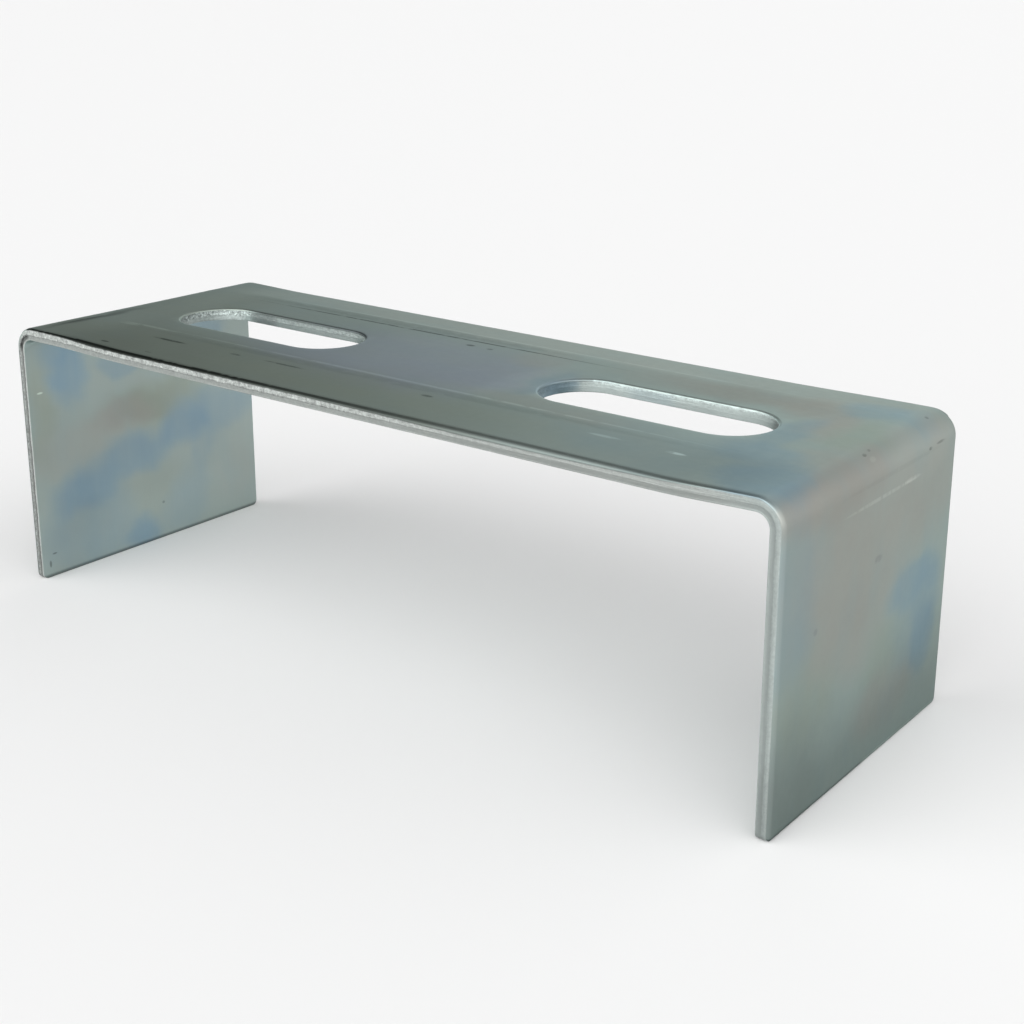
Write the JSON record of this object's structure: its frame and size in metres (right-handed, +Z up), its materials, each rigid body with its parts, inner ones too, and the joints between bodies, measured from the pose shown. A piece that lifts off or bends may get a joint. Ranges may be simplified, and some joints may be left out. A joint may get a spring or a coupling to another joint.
{
  "type": "u bracket",
  "caption": "U-shaped bracket folded from flat zinc-plated steel strip, with long bolt slots in line along its web and a plain flange at each end.",
  "frame": {"origin": "on the plane that the feet of the two flanges stand on, midway between the flanges and between the strip's edges", "axes": "+X along the web from the left flange to the right one, +Y across the strip, +Z up out of the top of the web"},
  "size_m": [0.145, 0.05, 0.045],
  "materials": {
    "zinc_plated_steel": "satin bright zinc plate with a cloudy blue and straw passivate"
  },
  "bodies": {
    "root": {"u_bracket": "zinc_plated_steel"}
  },
  "joints": []
}
